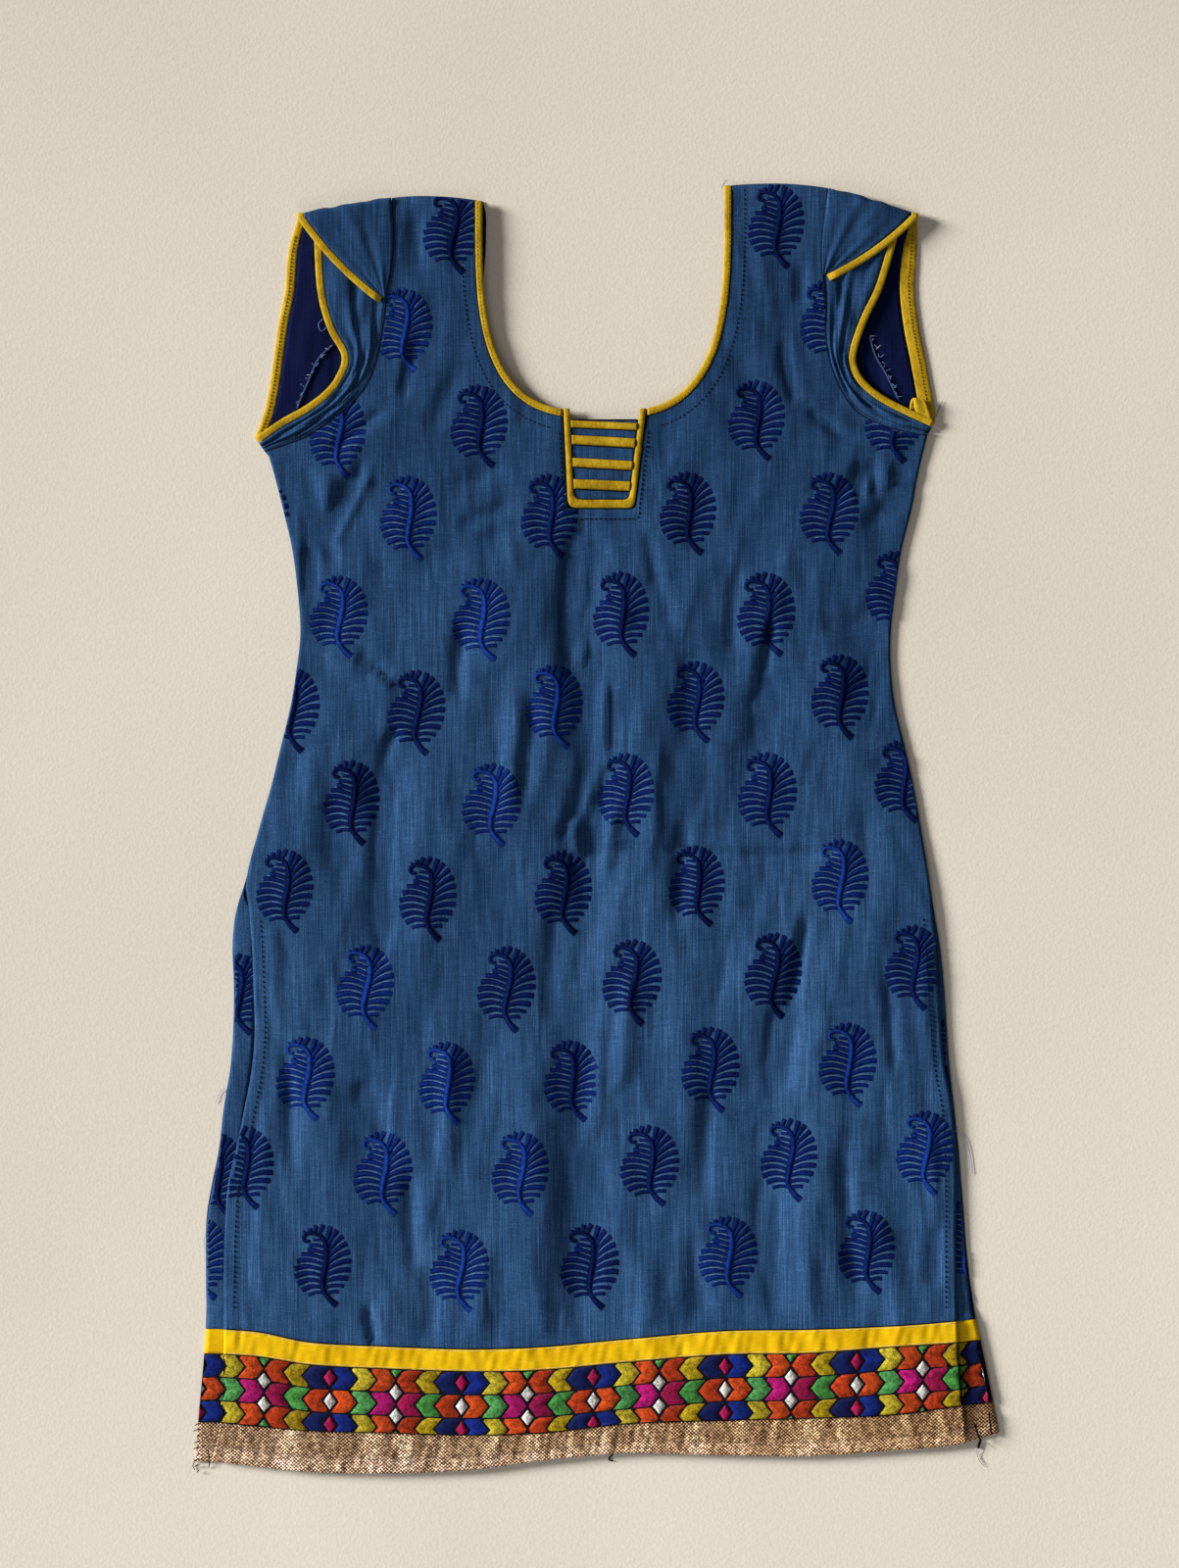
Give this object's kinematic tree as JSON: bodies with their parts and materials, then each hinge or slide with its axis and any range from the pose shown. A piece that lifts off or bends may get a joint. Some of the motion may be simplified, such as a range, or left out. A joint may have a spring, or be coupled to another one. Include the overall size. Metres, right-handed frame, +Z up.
{
  "type": "kurti laid flat",
  "caption": "Kurti laid flat, front up: deep U neck with a piped yoke, petal cap sleeves, side slits and a ribboned, embroidered hem edged with lace.",
  "frame": {"origin": "middle of the laid-out garment's outline, on the surface that it lies on", "axes": "+Y up the garment from the hem to the shoulders, +X across it to the right as seen from above, +Z up off the surface, out of the front"},
  "size_m": [0.5736, 0.9209, 0.0084],
  "materials": {
    "cloth": "blue slub chambray with darker blue satin-stitch embroidery, matt",
    "binding": "mustard yellow bias binding, low sheen",
    "ribbon": "bright yellow woven ribbon, low sheen",
    "border": "multicoloured satin-stitch embroidery, thread sheen",
    "lace": "woven metallic copper-gold lace with silver threads, glittering"
  },
  "bodies": {
    "root": {"front": "cloth", "back": "cloth", "sleeve_left_outer": "cloth", "sleeve_left_inner": "cloth", "sleeve_right_outer": "cloth", "sleeve_right_inner": "cloth", "yoke_insert": "cloth", "neck_binding_left": "binding", "neck_binding_right": "binding", "binding_left_outer": "binding", "binding_left_inner": "binding", "binding_right_outer": "binding", "binding_right_inner": "binding", "yoke_frame": "binding", "yoke_strip_1": "binding", "yoke_strip_2": "binding", "yoke_strip_3": "binding", "yoke_strip_4": "binding", "front_ribbon": "ribbon", "back_ribbon": "ribbon", "front_border": "border", "back_border": "border", "front_lace": "lace", "back_lace": "lace"}
  },
  "joints": []
}
